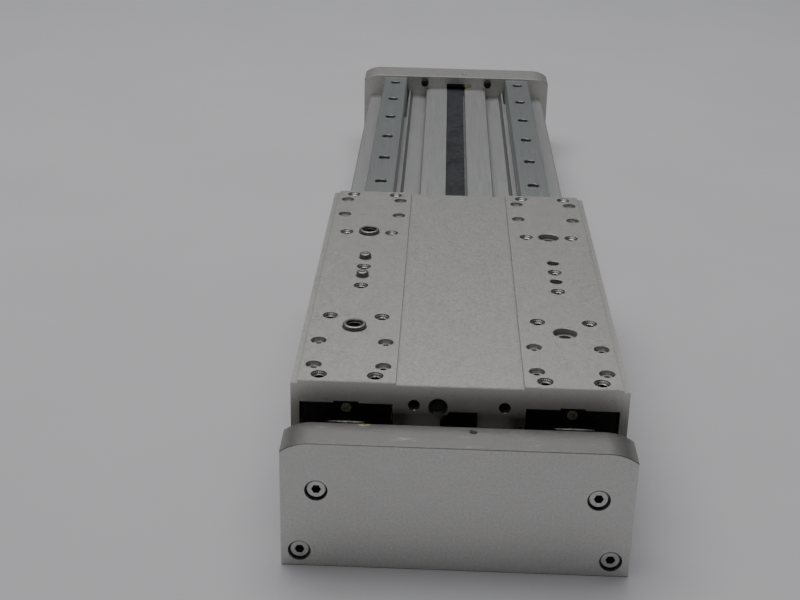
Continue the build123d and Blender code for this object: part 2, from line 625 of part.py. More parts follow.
def carriage_plate():
    """Wide carriage plate with its hole pattern, block lips, face holes and driver pocket."""
    y0, y1 = Y_CARRIAGE_START, Y_CARRIAGE_END
    body = carriage_blank()
    for side in (-1, 1):
        for start, end in ((y0, y0 + LIP_DEPTH), (y1 - LIP_DEPTH, y1)):
            spans = ((POCKET_IN, RAIL_X - PORT_NOTCH), (RAIL_X + PORT_NOTCH, POCKET_OUT))
            for near, far in spans:
                lip_x = sorted((side * near, side * far))
                body += box(*lip_x, start, end, LIP_Z, CARRIAGE_SEAT)
    body -= box(-POCKET_IN, POCKET_IN, y0, y0 + FRONT_SETBACK, CORE_Z, SETBACK_Z)
    body -= box(-POCKET_IN, POCKET_IN, y1 - FRONT_SETBACK, y1, CORE_Z, SETBACK_Z)
    pocket_x, pocket_y = DRIVER_HEAD_HALF_X + LOOSE, DRIVER_HEAD_HALF_Y + LOOSE
    body -= box(-pocket_x, pocket_x, Y_CARRIAGE - pocket_y, Y_CARRIAGE + pocket_y, CORE_Z, 48.0)
    body -= box(CHANNEL_L, CHANNEL_R, Y_CARRIAGE - ARCH_FOOT, Y_CARRIAGE + ARCH_FOOT, CORE_Z, 49.5)
    for x, y in pad_positions(THREAD_ROWS + tuple(-r for r in THREAD_ROWS), 10):
        body -= post(M5_TAP, x, y, CARRIAGE_SEAT, CARRIAGE_TOP)
        body -= mouth(M5_MOUTH, M5_MOUTH - M5_TAP, x, y, CARRIAGE_TOP)
    block_rows = [s * BLOCK_Y + t for s in (-1, 1) for t in (-10, 10)]
    for x, y in pad_positions(block_rows, 12.5):
        body -= post(1.75, x, y, CARRIAGE_SEAT, CARRIAGE_TOP)
        body -= post(2.95, x, y, CARRIAGE_TOP - 4.5, CARRIAGE_TOP)
    for x, y in pad_positions(RING_ROWS, 0):
        body -= post(4.5 + FIT, x, y, CARRIAGE_TOP - 2.2, CARRIAGE_TOP)
        body -= post(2.65, x, y, CARRIAGE_SEAT, CARRIAGE_TOP)
        body -= mouth(4.75, 0.23, x, y, CARRIAGE_TOP)
    for x, y in pad_positions(PIN_ROWS, 0):
        body -= post(2.5 + FIT, x, y, CARRIAGE_SEAT, CARRIAGE_TOP)
        body -= mouth(2.75, 0.23, x, y, CARRIAGE_TOP)
    for x, y in pad_positions(CENTRE_THREAD_ROWS, 0):
        body -= post(M5_TAP, x, y, CARRIAGE_SEAT, CARRIAGE_TOP)
        body -= mouth(M5_MOUTH, M5_MOUTH - M5_TAP, x, y, CARRIAGE_TOP)
    for side in (-1, 1):
        body -= rod(M5_TAP, y0, y0 + 12, side * FACE_HOLE_X, FACE_HOLE_Z)
    body -= rod(PORT_RADIUS, y0, y0 + 12, PORT_X, PORT_Z)
    return body


WAIST_Z0, WAIST_Z1, WAIST_DEPTH = CARRIAGE_TOP - 0.35, CARRIAGE_TOP + 0.2, 0.2
RING_OUT, PIN_OUT = 1.45, 2.0


def waist(radius, x, y):
    """Relief groove round a ring or pin where it leaves the pad."""
    outside = post(radius + 1, x, y, WAIST_Z0, WAIST_Z1)
    return outside - post(radius - WAIST_DEPTH, x, y, WAIST_Z0, WAIST_Z1)


def centering_rings():
    """Two hardened rings in the left pad, standing out of it."""
    solids = []
    for row in RING_ROWS:
        y = Y_CARRIAGE + row
        z0, z1 = CARRIAGE_TOP - 2.1, CARRIAGE_TOP + RING_OUT
        ring = post(4.5, -RAIL_X, y, z0, z1) - post(3.1, -RAIL_X, y, z0, z1)
        ring = chamfer(ring.edges().group_by(Axis.Z)[-1], 0.3)
        solids.append(ring - waist(4.5, -RAIL_X, y))
    return group(solids)


def dowel_pins():
    """Two dowel pins in the left pad, with rounded tops."""
    solids = []
    for row in PIN_ROWS:
        y = Y_CARRIAGE + row
        pin = post(2.5, -RAIL_X, y, CARRIAGE_TOP - 7, CARRIAGE_TOP + PIN_OUT)
        pin = fillet(pin.edges().group_by(Axis.Z)[-1], 0.7)
        solids.append(pin - waist(2.5, -RAIL_X, y))
    return group(solids)


def block_screws():
    """The sixteen screws that hold the four guide blocks."""
    screw = cap_screw(1.5, 6.6, 2.75, 3, 2.5, 1.5)
    rows = [s * BLOCK_Y + t for s in (-1, 1) for t in (-10, 10)]
    seat = CARRIAGE_TOP - 4.5
    return group([upward(screw, x, y, seat) for x, y in pad_positions(rows, 12.5)])


GUIDE_LENGTH, GUIDE_INSET = 13.5, 0.5


def strip_guide(y0, y1):
    """Black insert in the channel's end: fills the channel above the strip, with a foot in the slot."""
    gap = 0.08
    points = [
        (CHANNEL_L + gap, PLATEAU_Z + 0.4),
        (CHANNEL_L + gap, CHANNEL_MID_Z),
        (CHANNEL_TOP_L + gap, CHANNEL_Z - gap),
        (CHANNEL_R - gap, CHANNEL_Z - gap),
        (CHANNEL_R - gap, PLATEAU_Z + 0.4),
        (5.4, PLATEAU_Z + 0.4),
        (5.4, STRIP_Z + STRIP_THICK + 0.3),
        (-5.4, STRIP_Z + STRIP_THICK + 0.3),
        (-5.4, PLATEAU_Z + 0.4),
    ]
    return prism(points, y0, y1)


# ---- guide blocks ------------------------------------------------------------------------------------
RETURN_X, RETURN_RADIUS = 12.4, 1.7
RAIL_GAP = 0.4
CAP_TOP, CAP_INSET = 15.6, 0.3
PLUG_Z, PLUG_RADIUS = 12.6, 1.9


def block_body(x, y):
    """Steel body of a guide block: channel over the rail, loaded races, return bores, screw threads."""
    base, half = SEAT_Z, BLOCK_WIDTH / 2
    y0, y1 = y - BLOCK_STEEL / 2, y + BLOCK_STEEL / 2
    body = box(x - half, x + half, y0, y1, base + BLOCK_CLEARANCE, CARRIAGE_SEAT)
    body = chamfer(body.edges().filter_by(Axis.Y), 0.4)
    channel = RAIL_WIDTH / 2 + RAIL_GAP
    body -= box(x - channel, x + channel, y0, y1, base, base + RAIL_HEIGHT + RAIL_GAP)
    for side in (-1, 1):
        body -= rod(RACE_RADIUS, y0, y1, x + side * RACE_OFFSET, base + RACE_Z)
        body -= rod(RETURN_RADIUS, y0, y1, x + side * RETURN_X, base + RACE_Z + 0.4)
        for row in (-10, 10):
            body -= post(1.5 + FIT, x + side * 12.5, y + row, CARRIAGE_SEAT - 3.8, CARRIAGE_SEAT)
    return body


def block_end_caps(x, y):
    """The two plastic end caps, with a seal lip round the rail and a hole for the lubrication plug."""
    solids = []
    half = BLOCK_WIDTH / 2 - CAP_INSET
    channel = RAIL_WIDTH / 2 + RAIL_GAP
    for side in (-1, 1):
        ends = sorted((y + side * BLOCK_STEEL / 2, y + side * BLOCK_LENGTH / 2))
        cap = box(x - half, x + half, *ends, SEAT_Z + BLOCK_CLEARANCE + 0.3, SEAT_Z + CAP_TOP)
        cap = chamfer(cap.edges().filter_by(Axis.Y), 0.6)
        cap -= box(x - channel, x + channel, *ends, SEAT_Z, SEAT_Z + RAIL_HEIGHT + RAIL_GAP)
        plug = sorted((y + side * (BLOCK_LENGTH / 2 - 4), y + side * BLOCK_LENGTH / 2))
        cap -= rod(PLUG_RADIUS + FIT, *plug, x, SEAT_Z + PLUG_Z)
        solids.append(cap)
    return group(solids)


def block_balls(x, y):
    """Balls of the two loaded rows and the two return rows."""
    radius = 1.585
    count = 8
    balls = []
    for side in (-1, 1):
        for dx, dz in ((RACE_OFFSET, RACE_Z), (RETURN_X, RACE_Z + 0.4)):
            for k in range(count):
                along = y + (k - (count - 1) / 2) * 2.05 * radius
                balls.append(Pos(x + side * dx, along, SEAT_Z + dz) * Sphere(radius))
    return group(balls)


def lubrication_plugs():
    """Threaded brass plugs in the outer face of each end cap."""
    solids = []
    for x, y in BLOCKS.values():
        for side in (-1, 1):
            ends = sorted((y + side * (BLOCK_LENGTH / 2 - 3.8), y + side * (BLOCK_LENGTH / 2 - 0.2)))
            plug = rod(PLUG_RADIUS, *ends, x, SEAT_Z + PLUG_Z)
            face = y + side * (BLOCK_LENGTH / 2 - 1.2)
            key = sorted((face, face + side * 2))
            plug -= rod(0.9, *key, x, SEAT_Z + PLUG_Z)
            solids.append(plug)
    return group(solids)


# ---- the list of nodes -------------------------------------------------------------------------------
def all_nodes():
    """Every node of the module, by name."""
    idle_face, drive_face = Y_PROFILE_START, Y_PROFILE_END
    second_bearing = Y_DRIVE_BEARING + BEARING_WIDTH
    guide_front = Y_CARRIAGE_START + GUIDE_INSET
    guide_rear = Y_CARRIAGE_END - GUIDE_INSET
    nodes = {
        "base_profile": base_profile(),
        "idle_end_plate": idle_end_plate(),
        "drive_end_plate": drive_end_plate(),
        "idle_end_plate_screws": idle_end_plate_screws(),
        "drive_end_plate_screws": drive_end_plate_screws(),
        "idle_bumpers": bumpers(idle_face, 1),
        "drive_bumpers": bumpers(drive_face, -1),
        "guide_rail_left": guide_rail(-RAIL_X),
        "guide_rail_right": guide_rail(RAIL_X),
        "rail_screws_left": rail_screws(-RAIL_X),
        "rail_screws_right": rail_screws(RAIL_X),
        "cover_strip": cover_strip(),
        "idle_strip_clamp": strip_clamp(idle_face - 6.6, IDLE_POCKET_HALF),
        "idle_strip_set_screw": strip_set_screw(Y_IDLE_SET_SCREW),
        "drive_strip_clamp": strip_clamp(drive_face + 5.6, DRIVE_POCKET_HALF),
        "drive_strip_set_screw": strip_set_screw(Y_DRIVE_SET_SCREW),
        "idle_bearing_outer_ring": outer_ring(Y_IDLE_BEARING),
        "idle_bearing_balls": group(bearing_balls(Y_IDLE_BEARING)),
        "idle_bearing_inner_ring": inner_ring(Y_IDLE_BEARING),
        "idle_retaining_ring": idle_retaining_ring(),
        "drive_bearing_outer_rings": group([outer_ring(Y_DRIVE_BEARING), outer_ring(second_bearing)]),
        "drive_bearing_balls": group(bearing_balls(Y_DRIVE_BEARING) + bearing_balls(second_bearing)),
        "drive_bearing_inner_rings": group([inner_ring(Y_DRIVE_BEARING), inner_ring(second_bearing)]),
        "drive_lock_nut": drive_lock_nut(),
        "drive_bearing_cover": drive_bearing_cover(),
        "drive_bearing_cover_screws": drive_bearing_cover_screws(),
        "ball_screw": ball_screw(),
        "ball_nut": ball_nut(),
        "ball_nut_balls": ball_nut_balls(),
        "ball_nut_end_caps": ball_nut_end_caps(),
        "nut_driver": nut_driver(),
        "nut_lock_ring": nut_lock_ring(),
        "carriage_plate": carriage_plate(),
        "centering_rings": centering_rings(),
        "dowel_pins": dowel_pins(),
        "block_screws": block_screws(),
        "strip_guide_front": strip_guide(guide_front, guide_front + GUIDE_LENGTH),
        "strip_guide_rear": strip_guide(guide_rear - GUIDE_LENGTH, guide_rear),
        "lubrication_plugs": lubrication_plugs(),
    }
    for name, (x, y) in BLOCKS.items():
        nodes[f"guide_block_{name}"] = block_body(x, y)
        nodes[f"block_end_caps_{name}"] = block_end_caps(x, y)
        nodes[f"block_balls_{name}"] = block_balls(x, y)
    return nodes


def main():
    os.makedirs("parts", exist_ok=True)
    for name, shape in all_nodes().items():
        export_step(shape, f"parts/{name}.step")


main()
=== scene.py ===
import json
import math
import random

import bpy
from mathutils import Matrix, Vector


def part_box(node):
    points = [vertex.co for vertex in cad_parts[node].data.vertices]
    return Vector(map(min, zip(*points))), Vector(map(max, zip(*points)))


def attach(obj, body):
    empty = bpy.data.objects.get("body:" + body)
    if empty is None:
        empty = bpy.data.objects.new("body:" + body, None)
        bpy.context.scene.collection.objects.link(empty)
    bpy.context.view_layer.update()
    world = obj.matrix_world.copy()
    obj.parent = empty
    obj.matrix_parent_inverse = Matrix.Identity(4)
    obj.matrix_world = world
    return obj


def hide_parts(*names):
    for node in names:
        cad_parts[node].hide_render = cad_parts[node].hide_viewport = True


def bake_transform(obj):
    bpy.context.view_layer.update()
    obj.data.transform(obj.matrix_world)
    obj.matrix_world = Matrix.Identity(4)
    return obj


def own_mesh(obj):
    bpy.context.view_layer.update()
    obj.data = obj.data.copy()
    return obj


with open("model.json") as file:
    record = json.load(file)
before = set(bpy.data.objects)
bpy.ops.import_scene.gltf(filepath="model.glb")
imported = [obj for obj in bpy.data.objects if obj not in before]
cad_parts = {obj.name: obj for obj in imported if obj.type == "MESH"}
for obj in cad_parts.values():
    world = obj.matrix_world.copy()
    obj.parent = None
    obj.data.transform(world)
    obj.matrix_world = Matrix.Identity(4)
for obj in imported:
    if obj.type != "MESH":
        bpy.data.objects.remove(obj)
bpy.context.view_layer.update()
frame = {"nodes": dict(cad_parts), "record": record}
MM = 0.001

# ---- places taken from the frame ---------------------------------------------------------------------
CARRIAGE_LOW, CARRIAGE_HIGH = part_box("carriage_plate")
PROFILE_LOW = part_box("base_profile")[0]
STRIP_LOW, STRIP_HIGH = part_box("cover_strip")
IDLE_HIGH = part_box("idle_end_plate")[1]
DRIVE_LOW, DRIVE_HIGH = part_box("drive_end_plate")
CARRIAGE_Y = (CARRIAGE_LOW.y + CARRIAGE_HIGH.y) / 2
CARRIAGE_TOP = CARRIAGE_HIGH.z


# ---- node helpers ------------------------------------------------------------------------------------
class Nodes:
    """A material's node tree, with short calls to add and link nodes."""

    def __init__(self, name):
        self.material = bpy.data.materials.new(name)
        self.material.use_nodes = True
        self.tree = self.material.node_tree
        self.shader = self.tree.nodes["Principled BSDF"]
        source = self.add("ShaderNodeTexCoord")
        self.coords, self.normal = source.outputs["Object"], source.outputs["Normal"]

    def add(self, kind, **values):
        node = self.tree.nodes.new(kind)
        for key, value in values.items():
            setattr(node, key, value)
        return node

    def link(self, source, target):
        self.tree.links.new(source, target)

    def scaled(self, scale):
        """Object coordinates, stretched by a scale per axis."""
        node = self.add("ShaderNodeMapping")
        node.inputs["Scale"].default_value = scale
        self.link(self.coords, node.inputs["Vector"])
        return node.outputs["Vector"]

    def noise(self, scale, detail=4.0, roughness=0.55, stretch=(1, 1, 1), distortion=0.0):
        node = self.add("ShaderNodeTexNoise")
        node.inputs["Scale"].default_value = scale
        node.inputs["Detail"].default_value = detail
        node.inputs["Roughness"].default_value = roughness
        node.inputs["Distortion"].default_value = distortion
        self.link(self.scaled(stretch), node.inputs["Vector"])
        return node.outputs["Fac"]

    def spread(self, value, low, high, to_low=0.0, to_high=1.0):
        """Maps a value from one range to another, clamped."""
        node = self.add("ShaderNodeMapRange")
        node.inputs["From Min"].default_value = low
        node.inputs["From Max"].default_value = high
        node.inputs["To Min"].default_value = to_low
        node.inputs["To Max"].default_value = to_high
        self.link(value, node.inputs["Value"])
        return node.outputs["Result"]

    def math(self, operation, a, b):
        node = self.add("ShaderNodeMath", operation=operation)
        for socket, value in zip(node.inputs, (a, b)):
            if isinstance(value, (int, float)):
                socket.default_value = value
            else:
                self.link(value, socket)
        return node.outputs[0]

    def mix(self, factor, first, second):
        """Mixes two colours; each is a tuple or a socket."""
        node = self.add("ShaderNodeMix", data_type="RGBA")
        self.link(factor, node.inputs["Factor"])
        for socket, value in ((node.inputs["A"], first), (node.inputs["B"], second)):
            if isinstance(value, tuple):
                socket.default_value = (*value, 1.0)
            else:
                self.link(value, socket)
        return node.outputs["Result"]

    def bump(self, height, strength, distance, below=None):
        node = self.add("ShaderNodeBump")
        if isinstance(strength, float):
            node.inputs["Strength"].default_value = strength
        else:
            self.link(strength, node.inputs["Strength"])
        node.inputs["Distance"].default_value = distance
        self.link(height, node.inputs["Height"])
        if below is not None:
            self.link(below, node.inputs["Normal"])
        return node.outputs["Normal"]

    def facing(self, axis, low=0.75, high=0.92):
        """1 on faces that look along an axis of the part, either way, and 0 on the others."""
        node = self.add("ShaderNodeSeparateXYZ")
        self.link(self.normal, node.inputs[0])
        return self.spread(self.math("ABSOLUTE", node.outputs[axis], 0.0), low, high)

    def along(self, axis, low, high, to_low, to_high):
        """A value that changes with the place along an axis of the part."""
        node = self.add("ShaderNodeSeparateXYZ")
        self.link(self.coords, node.inputs[0])
        return self.spread(node.outputs[axis], low, high, to_low, to_high)

    def hollow_shade(self, reach=4.0 * MM, open_at=0.92, closed_at=0.35):
        """1 deep in a hole, slot or inner corner of the same piece, 0 on open faces; the mask for painted
        shade.
        """
        node = self.add("ShaderNodeAmbientOcclusion", samples=8, only_local=True)
        node.inputs["Distance"].default_value = reach
        return self.spread(node.outputs["AO"], closed_at, open_at, 1.0, 0.0)

    def set(self, **values):
        """Constant values on the shader's own sockets."""
        for key, value in values.items():
            self.shader.inputs[key.replace("_", " ")].default_value = value

    def into(self, **sockets):
        for key, source in sockets.items():
            self.link(source, self.shader.inputs[key.replace("_", " ")])


def shade(colour, factor):
    return tuple(c * factor for c in colour)


# ---- materials ---------------------------------------------------------------------------------------
def anodised(name, colour, rough=0.42, lines=(1.0, 1.0, 1.0), grain=1.0, metallic=0.85, face_tone_and_polish=None,
             deep=0.30, scuffs=0.0, rim=None, painted_front_shade=False):
    """Natural anodised aluminium: speckled blasted grain, faint tool lines, small marks, painted shade in the
    corners and holes.

    face_tone_and_polish names an axis whose faces were cut by milling rather than blasted: (axis, tone,
    roughness taken off); the tone is painted light above 1 and painted shade below 1.
    deep is the painted shade tone at the bottom of holes, scuffs the strength of small bright marks, rim the
    painted shade tone of the bevels between the top and the ends, and painted_front_shade paints shade on the
    ends, darker towards their foot.
    """
    m = Nodes(name)
    cloud = m.noise(30.0, 4.0, 0.5)
    grains = m.noise(1150.0, 3.0, 0.75)
    fine = m.noise(3200.0, 2.0, 0.6)
    strokes = m.noise(1500.0, 3.0, 0.65, stretch=lines)
    nicks = m.noise(240.0, 5.0, 0.8, stretch=(1.0, 0.5, 1.0), distortion=2.0)
    low, high = 1.0 - 0.13 * grain, 1.0 + 0.08 * grain
    tone = m.mix(m.spread(grains, 0.34, 0.66), shade(colour, low), shade(colour, high))
    tone = m.mix(m.spread(strokes, 0.35, 0.65, 0.0, 0.35), tone, shade(colour, 0.92))
    tone = m.mix(m.spread(cloud, 0.40, 0.70, 0.0, 0.25), tone, shade(colour, 0.94))
    tone = m.mix(m.spread(nicks, 0.74, 0.80, 0.0, 0.35), tone, shade(colour, 0.70))
    roughness = m.math("ADD", m.spread(grains, 0.3, 0.7, rough - 0.05, rough + 0.05),
                       m.spread(strokes, 0.3, 0.7, -0.04, 0.04))
    # one axis's faces get their own tone, painted light above 1 and painted shade below 1; the roughness
    # taken off is real polish
    if face_tone_and_polish:
        axis, darker, polish = face_tone_and_polish
        milled_face_shading = m.facing(axis)
        tone = m.mix(milled_face_shading, tone, m.mix(m.spread(grains, 0.3, 0.7), shade(colour, darker * 0.93),
                                         shade(colour, darker * 1.05)))
        roughness = m.math("SUBTRACT", roughness, m.math("MULTIPLY", milled_face_shading, polish))
    if scuffs:
        marks = m.noise(420.0, 5.0, 0.75, stretch=(0.22, 1.0, 1.0), distortion=1.2)
        tone = m.mix(m.spread(marks, 0.60, 0.70, 0.0, scuffs), tone, shade(colour, 1.15))
    # painted shade on the ends, darker towards their foot
    if painted_front_shade:
        foot_shade = m.math("MULTIPLY", m.facing("Y"), m.along("Z", 47.0 * MM, 61.0 * MM, 0.75, 0.0))
        tone = m.mix(foot_shade, tone, shade(colour, 0.52))
    # painted shade on the bevels between the top and the ends
    if rim is not None:
        bevel = m.math("MULTIPLY", m.facing("Y", 0.25, 0.45), m.facing("Z", 0.25, 0.45))
        tone = m.mix(bevel, tone, shade(colour, rim))
    # painted shade in the piece's own corners and holes
    tone = m.mix(m.hollow_shade(3.0 * MM, 0.85, 0.20), tone, shade(colour, deep))
    m.set(Metallic=metallic)
    m.into(Base_Color=tone, Roughness=roughness)
    rise = m.spread(m.facing("Y"), 0.0, 1.0, 0.12, 0.015) if painted_front_shade else 0.12
    m.into(Normal=m.bump(strokes, rise, 0.00002, m.bump(fine, rise, 0.00002)))
    return m.material


def ground_steel(name, colour, rough=0.30, lines=(1.0, 0.02, 1.0), metallic=0.95, dirt=0.25):
    """Ground steel: long fine grinding lines, small stains, and painted shade in its corners."""
    m = Nodes(name)
    strokes = m.noise(1900.0, 2.0, 0.5, stretch=lines)
    specks = m.noise(900.0, 4.0, 0.7)
    stains = m.noise(130.0, 5.0, 0.6, stretch=(1.0, 0.4, 1.0))
    tone = m.mix(m.spread(strokes, 0.3, 0.7), shade(colour, 0.93), shade(colour, 1.06))
    tone = m.mix(m.spread(specks, 0.60, 0.75, 0.0, dirt), tone, shade(colour, 0.60))
    tone = m.mix(m.spread(stains, 0.58, 0.75, 0.0, dirt * 0.6), tone, shade(colour, 0.80))
    # painted shade in the piece's own corners
    tone = m.mix(m.hollow_shade(3.0 * MM, 0.80, 0.25), tone, shade(colour, 0.30))
    m.set(Metallic=metallic)
    m.into(Base_Color=tone, Roughness=m.spread(specks, 0.3, 0.7, rough - 0.04, rough + 0.05))
    m.into(Normal=m.bump(strokes, 0.22, 0.00002))
    return m


def rail_steel(name):
    """Greenish ground rail steel, with painted shade in its screw holes and a painted shadow, nearly black,
    beside the idle plate.
    """
    m = ground_steel(name, (0.485, 0.512, 0.495), 0.36, dirt=0.12)
    before = m.shader.inputs["Base Color"].links[0].from_socket
    # painted shade on faces turned partly along Y: the screw hole walls and the rail ends
    hole_wall_shade = m.mix(m.facing("Y", 0.12, 0.30), before, (0.20, 0.20, 0.195))
    # painted shadow: near black over the first 7 to 11 mm of the rail beside the idle plate
    beyond_end_shadow = m.along("Y", PROFILE_LOW.y + 7.0 * MM, PROFILE_LOW.y + 11.0 * MM, 0.0, 1.0)
    m.into(Base_Color=m.mix(beyond_end_shadow, (0.035, 0.034, 0.031), hole_wall_shade))
    return m.material


def turned_steel(name, colour, rough=0.34, metallic=0.9, top=1.0):
    """Turned and hardened steel with a patchy brown patina and painted shade in its hollows; faces that look
    up can get painted light.
    """
    m = Nodes(name)
    rings = m.noise(1400.0, 2.0, 0.5, stretch=(0.15, 0.15, 1.0))
    patches = m.noise(900.0, 5.0, 0.7)
    # painted light on faces that look up
    base = m.mix(m.facing("Z"), colour, shade(colour, top))
    tone = m.mix(m.spread(patches, 0.40, 0.66, 0.0, 0.75), base, shade((0.75, 0.66, 0.58), sum(colour) / 6))
    # painted shade in the piece's own hollows
    tone = m.mix(m.hollow_shade(3 * MM), tone, shade(colour, 0.08))
    m.set(Metallic=metallic)
    m.into(Base_Color=tone, Roughness=m.spread(patches, 0.3, 0.7, rough - 0.05, rough + 0.12))
    m.into(Normal=m.bump(rings, 0.3, 0.00003))
    return m.material


def plated_screw(name, colour, rough=0.30):
    """Zinc plated screw: pressed face with small dents, and painted shade in its socket."""
    m = Nodes(name)
    dents = m.noise(900.0, 4.0, 0.6)
    grime = m.noise(420.0, 5.0, 0.7)
    tone = m.mix(m.spread(grime, 0.50, 0.75, 0.0, 0.45), colour, shade(colour, 0.45))
    # painted shade in the socket
    tone = m.mix(m.hollow_shade(3 * MM, 0.85), tone, shade(colour, 0.03))
    m.set(Metallic=0.9)
    m.into(Base_Color=tone, Roughness=m.spread(dents, 0.3, 0.7, rough - 0.05, rough + 0.12))
    m.into(Normal=m.bump(dents, 0.35, 0.00005))
    return m.material


def moulded(name, colour, rough=0.45, dust=0.10):
    """Moulded black plastic or rubber, with a fine spark texture and a little dust."""
    m = Nodes(name)
    grain = m.noise(1800.0, 3.0, 0.6)
    film = m.noise(300.0, 5.0, 0.7)
    tone = m.mix(m.spread(film, 0.50, 0.80, 0.0, dust), colour, (0.16, 0.16, 0.15))
    m.set(Metallic=0.0, Specular_IOR_Level=0.25)
    m.into(Base_Color=tone, Roughness=m.spread(film, 0.3, 0.7, rough - 0.08, rough + 0.12))
    m.into(Normal=m.bump(grain, 0.25, 0.00004))
    return m.material


def strip_band(name):
    """Charcoal cover band: dusty mottling, faint lengthwise rub marks and darker oily patches."""
    m = Nodes(name)
    base, light, dark = (0.017, 0.018, 0.022), (0.048, 0.050, 0.056), (0.006, 0.006, 0.007)
    mottling = m.noise(520.0, 5.0, 0.75)
    blotches = m.noise(110.0, 4.0, 0.6, stretch=(1.0, 0.6, 1.0))
    streaks = m.noise(700.0, 3.0, 0.6, stretch=(1.0, 0.05, 1.0))
    tone = m.mix(m.spread(mottling, 0.38, 0.66), base, light)
    tone = m.mix(m.spread(blotches, 0.50, 0.68, 0.0, 0.75), tone, dark)
    tone = m.mix(m.spread(streaks, 0.58, 0.72, 0.0, 0.4), tone, light)
    m.set(Metallic=0.0, Specular_IOR_Level=0.3)
    m.into(Base_Color=tone, Roughness=m.spread(mottling, 0.3, 0.7, 0.42, 0.62))
    m.into(Normal=m.bump(m.noise(1200.0, 3.0, 0.6), 0.2, 0.00004))
    return m.material


def brass(name):
    """Dull brass of the lubrication plugs."""
    m = Nodes(name)
    grime = m.noise(900.0, 4.0, 0.6)
    m.set(Metallic=0.8)
    m.into(Base_Color=m.mix(m.spread(grime, 0.35, 0.65), (0.62, 0.61, 0.48), (0.20, 0.19, 0.14)))
    m.into(Roughness=m.spread(grime, 0.3, 0.7, 0.30, 0.50))
    m.into(Normal=m.bump(grime, 0.3, 0.00004))
    return m.material


def grease(name, thick, thin):
    """Thin film of grease between two tones."""
    m = Nodes(name)
    swirl = m.noise(900.0, 4.0, 0.6, distortion=1.0)
    m.set(Metallic=0.0, IOR=1.47)
    m.into(Base_Color=m.mix(m.spread(swirl, 0.35, 0.65), thick, thin))
    m.into(Roughness=m.spread(swirl, 0.3, 0.7, 0.15, 0.35))
    m.into(Normal=m.bump(swirl, 0.5, 0.0001))
    return m.material


def tapped(name, colour):
    """Cut aluminium inside a tapped hole by its tone; the mouth and depth tones are painted shade."""
    m = Nodes(name)
    cuts = m.noise(2000.0, 2.0, 0.5)
    m.set(Metallic=0.95)
    m.into(Base_Color=m.mix(m.spread(cuts, 0.3, 0.7), shade(colour, 0.85), shade(colour, 1.15)))
    m.into(Roughness=m.spread(cuts, 0.3, 0.7, 0.24, 0.40))
    m.into(Normal=m.bump(cuts, 0.2, 0.00003))
    return m.material


def studio_floor(name):
    """Plain pale backdrop paper."""
    m = Nodes(name)
    fibre = m.noise(9.0, 4.0, 0.55)
    m.set(Metallic=0.0, Roughness=0.75)
    m.into(Base_Color=m.mix(m.spread(fibre, 0.3, 0.7), (0.525, 0.521, 0.535), (0.55, 0.546, 0.560)))
    return m.material


MATERIALS = {
    # The axis tones, hole tones, bevel tones and front shading given here are painted light and shade.
    "carriage_aluminium": anodised("carriage_aluminium", (0.475, 0.468, 0.445), 0.44, (0.12, 1.0, 1.0), 1.5,
                                   face_tone_and_polish=("Y", 1.36, 0.10), deep=0.36, painted_front_shade=True),
    "plate_aluminium": anodised("plate_aluminium", (0.665, 0.655, 0.63), 0.40, (0.08, 1.0, 1.0), 1.3,
                                face_tone_and_polish=("Z", 0.41, -0.02), deep=0.7, scuffs=0.35, rim=0.30),
    "profile_aluminium": anodised("profile_aluminium", (0.505, 0.503, 0.498), 0.42, (1.0, 0.02, 1.0), 0.5,
                                  face_tone_and_polish=("X", 0.55, 0.0), deep=0.75),
    "inner_aluminium": anodised("inner_aluminium", (0.55, 0.55, 0.55), 0.36, (0.05, 1.0, 1.0), 0.5),
    "rail_steel": rail_steel("rail_steel"),
    "block_steel": ground_steel("block_steel", (0.45, 0.46, 0.47), 0.30).material,
    "ground_steel": ground_steel("ground_steel", (0.55, 0.55, 0.55), 0.20, (1.0, 1.0, 1.0)).material,
    "bearing_steel": ground_steel("bearing_steel", (0.62, 0.62, 0.62), 0.15, (1.0, 1.0, 1.0),
                                  dirt=0.1).material,
    # the top factor paints light on the faces that look up
    "hardened_steel": turned_steel("hardened_steel", (0.27, 0.255, 0.24), top=1.45),
    "dark_steel": turned_steel("dark_steel", (0.15, 0.155, 0.16)),
    "screw_steel": plated_screw("screw_steel", (0.62, 0.62, 0.60)),
    "black_plastic": moulded("black_plastic", (0.006, 0.006, 0.008), 0.42, 0.03),
    "bumper_rubber": moulded("bumper_rubber", (0.008, 0.008, 0.008), 0.6, 0.05),
    "strip_band": strip_band("strip_band"),
    "brass": brass("brass"),
}
# this plate's axis tone and bevel tone are painted shade
DRIVE_PLATE = anodised("drive_plate_aluminium", (0.635, 0.625, 0.60), 0.40, (0.08, 1.0, 1.0),
                       face_tone_and_polish=("Z", 0.86, -0.02), deep=0.6, rim=0.35)
OILY_SCREWS = plated_screw("oily_screw_steel", (0.40, 0.40, 0.39), 0.42)
# the mouth and depth tones are painted shade; the thread tone is the cut metal
TAPPED = [tapped("tapped_mouth_shade", (0.10, 0.10, 0.10)), tapped("tapped_thread", (0.70, 0.70, 0.67)),
          tapped("tapped_depth_shade", (0.008, 0.009, 0.009))]
GREASE = grease("grease", (0.22, 0.20, 0.10), (0.46, 0.43, 0.27))
PALE_GREASE = grease("pale_grease", (0.10, 0.10, 0.09), (0.36, 0.36, 0.33))
SPECIAL = {"drive_end_plate": DRIVE_PLATE, "rail_screws_left": OILY_SCREWS, "rail_screws_right": OILY_SCREWS}


def dress_cad_nodes():
    """Gives every CAD node the material of its slot."""
    slots = {s["node"]: s["material_slot"] for s in frame["record"]["subparts"]}
    for name, obj in frame["nodes"].items():
        obj.data.materials.clear()
        obj.data.materials.append(SPECIAL.get(name) or MATERIALS[slots[name]])


